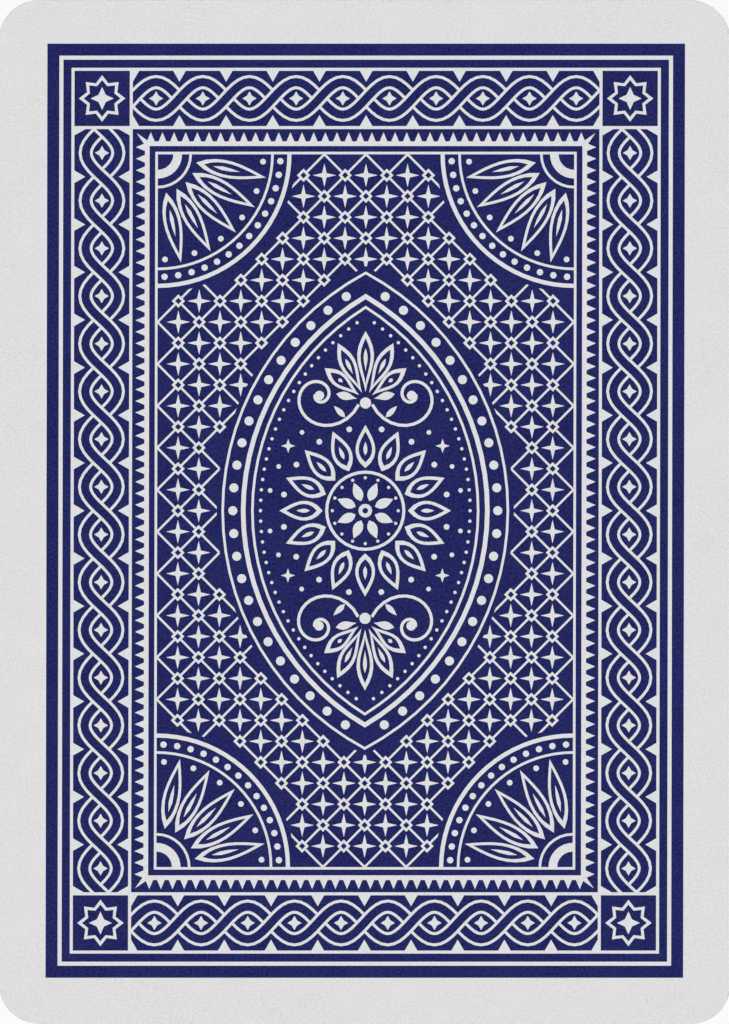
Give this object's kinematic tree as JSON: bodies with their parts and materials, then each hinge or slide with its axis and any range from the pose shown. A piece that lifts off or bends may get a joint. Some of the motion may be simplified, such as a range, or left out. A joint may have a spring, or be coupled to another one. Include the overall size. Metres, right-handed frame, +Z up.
{
  "type": "playing card deck",
  "caption": "Squared pack of poker-size paper playing cards lying face down, with white-bordered dark blue ornamental backs; each card slides on the one below.",
  "frame": {"origin": "middle of the underside of the bottom card, on the table", "axes": "+X across the cards, +Y along them, +Z up through the pack, out of the backs"},
  "size_m": [0.0638, 0.0892, 0.0162],
  "materials": {
    "card_stock": "coated white paper with a fine embossed finish, dark blue print on the back, red and black print on the face, bare cut edge"
  },
  "bodies": {
    "ace_of_spades": {"ace_of_spades": "card_stock"},
    "two_of_spades": {"two_of_spades": "card_stock"},
    "three_of_spades": {"three_of_spades": "card_stock"},
    "four_of_spades": {"four_of_spades": "card_stock"},
    "five_of_spades": {"five_of_spades": "card_stock"},
    "six_of_spades": {"six_of_spades": "card_stock"},
    "seven_of_spades": {"seven_of_spades": "card_stock"},
    "eight_of_spades": {"eight_of_spades": "card_stock"},
    "nine_of_spades": {"nine_of_spades": "card_stock"},
    "ten_of_spades": {"ten_of_spades": "card_stock"},
    "jack_of_spades": {"jack_of_spades": "card_stock"},
    "queen_of_spades": {"queen_of_spades": "card_stock"},
    "king_of_spades": {"king_of_spades": "card_stock"},
    "ace_of_diamonds": {"ace_of_diamonds": "card_stock"},
    "two_of_diamonds": {"two_of_diamonds": "card_stock"},
    "three_of_diamonds": {"three_of_diamonds": "card_stock"},
    "four_of_diamonds": {"four_of_diamonds": "card_stock"},
    "five_of_diamonds": {"five_of_diamonds": "card_stock"},
    "six_of_diamonds": {"six_of_diamonds": "card_stock"},
    "seven_of_diamonds": {"seven_of_diamonds": "card_stock"},
    "eight_of_diamonds": {"eight_of_diamonds": "card_stock"},
    "nine_of_diamonds": {"nine_of_diamonds": "card_stock"},
    "ten_of_diamonds": {"ten_of_diamonds": "card_stock"},
    "jack_of_diamonds": {"jack_of_diamonds": "card_stock"},
    "queen_of_diamonds": {"queen_of_diamonds": "card_stock"},
    "king_of_diamonds": {"king_of_diamonds": "card_stock"},
    "king_of_clubs": {"king_of_clubs": "card_stock"},
    "queen_of_clubs": {"queen_of_clubs": "card_stock"},
    "jack_of_clubs": {"jack_of_clubs": "card_stock"},
    "ten_of_clubs": {"ten_of_clubs": "card_stock"},
    "nine_of_clubs": {"nine_of_clubs": "card_stock"},
    "eight_of_clubs": {"eight_of_clubs": "card_stock"},
    "seven_of_clubs": {"seven_of_clubs": "card_stock"},
    "six_of_clubs": {"six_of_clubs": "card_stock"},
    "five_of_clubs": {"five_of_clubs": "card_stock"},
    "four_of_clubs": {"four_of_clubs": "card_stock"},
    "three_of_clubs": {"three_of_clubs": "card_stock"},
    "two_of_clubs": {"two_of_clubs": "card_stock"},
    "ace_of_clubs": {"ace_of_clubs": "card_stock"},
    "king_of_hearts": {"king_of_hearts": "card_stock"},
    "queen_of_hearts": {"queen_of_hearts": "card_stock"},
    "jack_of_hearts": {"jack_of_hearts": "card_stock"},
    "ten_of_hearts": {"ten_of_hearts": "card_stock"},
    "nine_of_hearts": {"nine_of_hearts": "card_stock"},
    "eight_of_hearts": {"eight_of_hearts": "card_stock"},
    "seven_of_hearts": {"seven_of_hearts": "card_stock"},
    "six_of_hearts": {"six_of_hearts": "card_stock"},
    "five_of_hearts": {"five_of_hearts": "card_stock"},
    "four_of_hearts": {"four_of_hearts": "card_stock"},
    "three_of_hearts": {"three_of_hearts": "card_stock"},
    "two_of_hearts": {"two_of_hearts": "card_stock"},
    "ace_of_hearts": {"ace_of_hearts": "card_stock"},
    "black_joker": {"black_joker": "card_stock"},
    "red_joker": {"red_joker": "card_stock"}
  },
  "joints": [
    {"name": "red_joker_slide", "type": "slide", "parent": "black_joker", "child": "red_joker", "axis": [1, 0, 0], "range_m": [-0.01, 0.0665]},
    {"name": "black_joker_slide", "type": "slide", "parent": "ace_of_hearts", "child": "black_joker", "axis": [1, 0, 0], "range_m": [-0.01, 0.01]},
    {"name": "ace_of_hearts_slide", "type": "slide", "parent": "two_of_hearts", "child": "ace_of_hearts", "axis": [1, 0, 0], "range_m": [-0.01, 0.01]},
    {"name": "two_of_hearts_slide", "type": "slide", "parent": "three_of_hearts", "child": "two_of_hearts", "axis": [1, 0, 0], "range_m": [-0.01, 0.01]},
    {"name": "three_of_hearts_slide", "type": "slide", "parent": "four_of_hearts", "child": "three_of_hearts", "axis": [1, 0, 0], "range_m": [-0.01, 0.01]},
    {"name": "four_of_hearts_slide", "type": "slide", "parent": "five_of_hearts", "child": "four_of_hearts", "axis": [1, 0, 0], "range_m": [-0.01, 0.01]},
    {"name": "five_of_hearts_slide", "type": "slide", "parent": "six_of_hearts", "child": "five_of_hearts", "axis": [1, 0, 0], "range_m": [-0.01, 0.01]},
    {"name": "six_of_hearts_slide", "type": "slide", "parent": "seven_of_hearts", "child": "six_of_hearts", "axis": [1, 0, 0], "range_m": [-0.01, 0.01]},
    {"name": "seven_of_hearts_slide", "type": "slide", "parent": "eight_of_hearts", "child": "seven_of_hearts", "axis": [1, 0, 0], "range_m": [-0.01, 0.01]},
    {"name": "eight_of_hearts_slide", "type": "slide", "parent": "nine_of_hearts", "child": "eight_of_hearts", "axis": [1, 0, 0], "range_m": [-0.01, 0.01]},
    {"name": "nine_of_hearts_slide", "type": "slide", "parent": "ten_of_hearts", "child": "nine_of_hearts", "axis": [1, 0, 0], "range_m": [-0.01, 0.01]},
    {"name": "ten_of_hearts_slide", "type": "slide", "parent": "jack_of_hearts", "child": "ten_of_hearts", "axis": [1, 0, 0], "range_m": [-0.01, 0.01]},
    {"name": "jack_of_hearts_slide", "type": "slide", "parent": "queen_of_hearts", "child": "jack_of_hearts", "axis": [1, 0, 0], "range_m": [-0.01, 0.01]},
    {"name": "queen_of_hearts_slide", "type": "slide", "parent": "king_of_hearts", "child": "queen_of_hearts", "axis": [1, 0, 0], "range_m": [-0.01, 0.01]},
    {"name": "king_of_hearts_slide", "type": "slide", "parent": "ace_of_clubs", "child": "king_of_hearts", "axis": [1, 0, 0], "range_m": [-0.01, 0.01]},
    {"name": "ace_of_clubs_slide", "type": "slide", "parent": "two_of_clubs", "child": "ace_of_clubs", "axis": [1, 0, 0], "range_m": [-0.01, 0.01]},
    {"name": "two_of_clubs_slide", "type": "slide", "parent": "three_of_clubs", "child": "two_of_clubs", "axis": [1, 0, 0], "range_m": [-0.01, 0.01]},
    {"name": "three_of_clubs_slide", "type": "slide", "parent": "four_of_clubs", "child": "three_of_clubs", "axis": [1, 0, 0], "range_m": [-0.01, 0.01]},
    {"name": "four_of_clubs_slide", "type": "slide", "parent": "five_of_clubs", "child": "four_of_clubs", "axis": [1, 0, 0], "range_m": [-0.01, 0.01]},
    {"name": "five_of_clubs_slide", "type": "slide", "parent": "six_of_clubs", "child": "five_of_clubs", "axis": [1, 0, 0], "range_m": [-0.01, 0.01]},
    {"name": "six_of_clubs_slide", "type": "slide", "parent": "seven_of_clubs", "child": "six_of_clubs", "axis": [1, 0, 0], "range_m": [-0.01, 0.01]},
    {"name": "seven_of_clubs_slide", "type": "slide", "parent": "eight_of_clubs", "child": "seven_of_clubs", "axis": [1, 0, 0], "range_m": [-0.01, 0.01]},
    {"name": "eight_of_clubs_slide", "type": "slide", "parent": "nine_of_clubs", "child": "eight_of_clubs", "axis": [1, 0, 0], "range_m": [-0.01, 0.01]},
    {"name": "nine_of_clubs_slide", "type": "slide", "parent": "ten_of_clubs", "child": "nine_of_clubs", "axis": [1, 0, 0], "range_m": [-0.01, 0.01]},
    {"name": "ten_of_clubs_slide", "type": "slide", "parent": "jack_of_clubs", "child": "ten_of_clubs", "axis": [1, 0, 0], "range_m": [-0.01, 0.01]},
    {"name": "jack_of_clubs_slide", "type": "slide", "parent": "queen_of_clubs", "child": "jack_of_clubs", "axis": [1, 0, 0], "range_m": [-0.01, 0.01]},
    {"name": "queen_of_clubs_slide", "type": "slide", "parent": "king_of_clubs", "child": "queen_of_clubs", "axis": [1, 0, 0], "range_m": [-0.01, 0.01]},
    {"name": "king_of_clubs_slide", "type": "slide", "parent": "king_of_diamonds", "child": "king_of_clubs", "axis": [1, 0, 0], "range_m": [-0.01, 0.01]},
    {"name": "king_of_diamonds_slide", "type": "slide", "parent": "queen_of_diamonds", "child": "king_of_diamonds", "axis": [1, 0, 0], "range_m": [-0.01, 0.01]},
    {"name": "queen_of_diamonds_slide", "type": "slide", "parent": "jack_of_diamonds", "child": "queen_of_diamonds", "axis": [1, 0, 0], "range_m": [-0.01, 0.01]},
    {"name": "jack_of_diamonds_slide", "type": "slide", "parent": "ten_of_diamonds", "child": "jack_of_diamonds", "axis": [1, 0, 0], "range_m": [-0.01, 0.01]},
    {"name": "ten_of_diamonds_slide", "type": "slide", "parent": "nine_of_diamonds", "child": "ten_of_diamonds", "axis": [1, 0, 0], "range_m": [-0.01, 0.01]},
    {"name": "nine_of_diamonds_slide", "type": "slide", "parent": "eight_of_diamonds", "child": "nine_of_diamonds", "axis": [1, 0, 0], "range_m": [-0.01, 0.01]},
    {"name": "eight_of_diamonds_slide", "type": "slide", "parent": "seven_of_diamonds", "child": "eight_of_diamonds", "axis": [1, 0, 0], "range_m": [-0.01, 0.01]},
    {"name": "seven_of_diamonds_slide", "type": "slide", "parent": "six_of_diamonds", "child": "seven_of_diamonds", "axis": [1, 0, 0], "range_m": [-0.01, 0.01]},
    {"name": "six_of_diamonds_slide", "type": "slide", "parent": "five_of_diamonds", "child": "six_of_diamonds", "axis": [1, 0, 0], "range_m": [-0.01, 0.01]},
    {"name": "five_of_diamonds_slide", "type": "slide", "parent": "four_of_diamonds", "child": "five_of_diamonds", "axis": [1, 0, 0], "range_m": [-0.01, 0.01]},
    {"name": "four_of_diamonds_slide", "type": "slide", "parent": "three_of_diamonds", "child": "four_of_diamonds", "axis": [1, 0, 0], "range_m": [-0.01, 0.01]},
    {"name": "three_of_diamonds_slide", "type": "slide", "parent": "two_of_diamonds", "child": "three_of_diamonds", "axis": [1, 0, 0], "range_m": [-0.01, 0.01]},
    {"name": "two_of_diamonds_slide", "type": "slide", "parent": "ace_of_diamonds", "child": "two_of_diamonds", "axis": [1, 0, 0], "range_m": [-0.01, 0.01]},
    {"name": "ace_of_diamonds_slide", "type": "slide", "parent": "king_of_spades", "child": "ace_of_diamonds", "axis": [1, 0, 0], "range_m": [-0.01, 0.01]},
    {"name": "king_of_spades_slide", "type": "slide", "parent": "queen_of_spades", "child": "king_of_spades", "axis": [1, 0, 0], "range_m": [-0.01, 0.01]},
    {"name": "queen_of_spades_slide", "type": "slide", "parent": "jack_of_spades", "child": "queen_of_spades", "axis": [1, 0, 0], "range_m": [-0.01, 0.01]},
    {"name": "jack_of_spades_slide", "type": "slide", "parent": "ten_of_spades", "child": "jack_of_spades", "axis": [1, 0, 0], "range_m": [-0.01, 0.01]},
    {"name": "ten_of_spades_slide", "type": "slide", "parent": "nine_of_spades", "child": "ten_of_spades", "axis": [1, 0, 0], "range_m": [-0.01, 0.01]},
    {"name": "nine_of_spades_slide", "type": "slide", "parent": "eight_of_spades", "child": "nine_of_spades", "axis": [1, 0, 0], "range_m": [-0.01, 0.01]},
    {"name": "eight_of_spades_slide", "type": "slide", "parent": "seven_of_spades", "child": "eight_of_spades", "axis": [1, 0, 0], "range_m": [-0.01, 0.01]},
    {"name": "seven_of_spades_slide", "type": "slide", "parent": "six_of_spades", "child": "seven_of_spades", "axis": [1, 0, 0], "range_m": [-0.01, 0.01]},
    {"name": "six_of_spades_slide", "type": "slide", "parent": "five_of_spades", "child": "six_of_spades", "axis": [1, 0, 0], "range_m": [-0.01, 0.01]},
    {"name": "five_of_spades_slide", "type": "slide", "parent": "four_of_spades", "child": "five_of_spades", "axis": [1, 0, 0], "range_m": [-0.01, 0.01]},
    {"name": "four_of_spades_slide", "type": "slide", "parent": "three_of_spades", "child": "four_of_spades", "axis": [1, 0, 0], "range_m": [-0.01, 0.01]},
    {"name": "three_of_spades_slide", "type": "slide", "parent": "two_of_spades", "child": "three_of_spades", "axis": [1, 0, 0], "range_m": [-0.01, 0.01]},
    {"name": "two_of_spades_slide", "type": "slide", "parent": "ace_of_spades", "child": "two_of_spades", "axis": [1, 0, 0], "range_m": [-0.01, 0.01]}
  ]
}
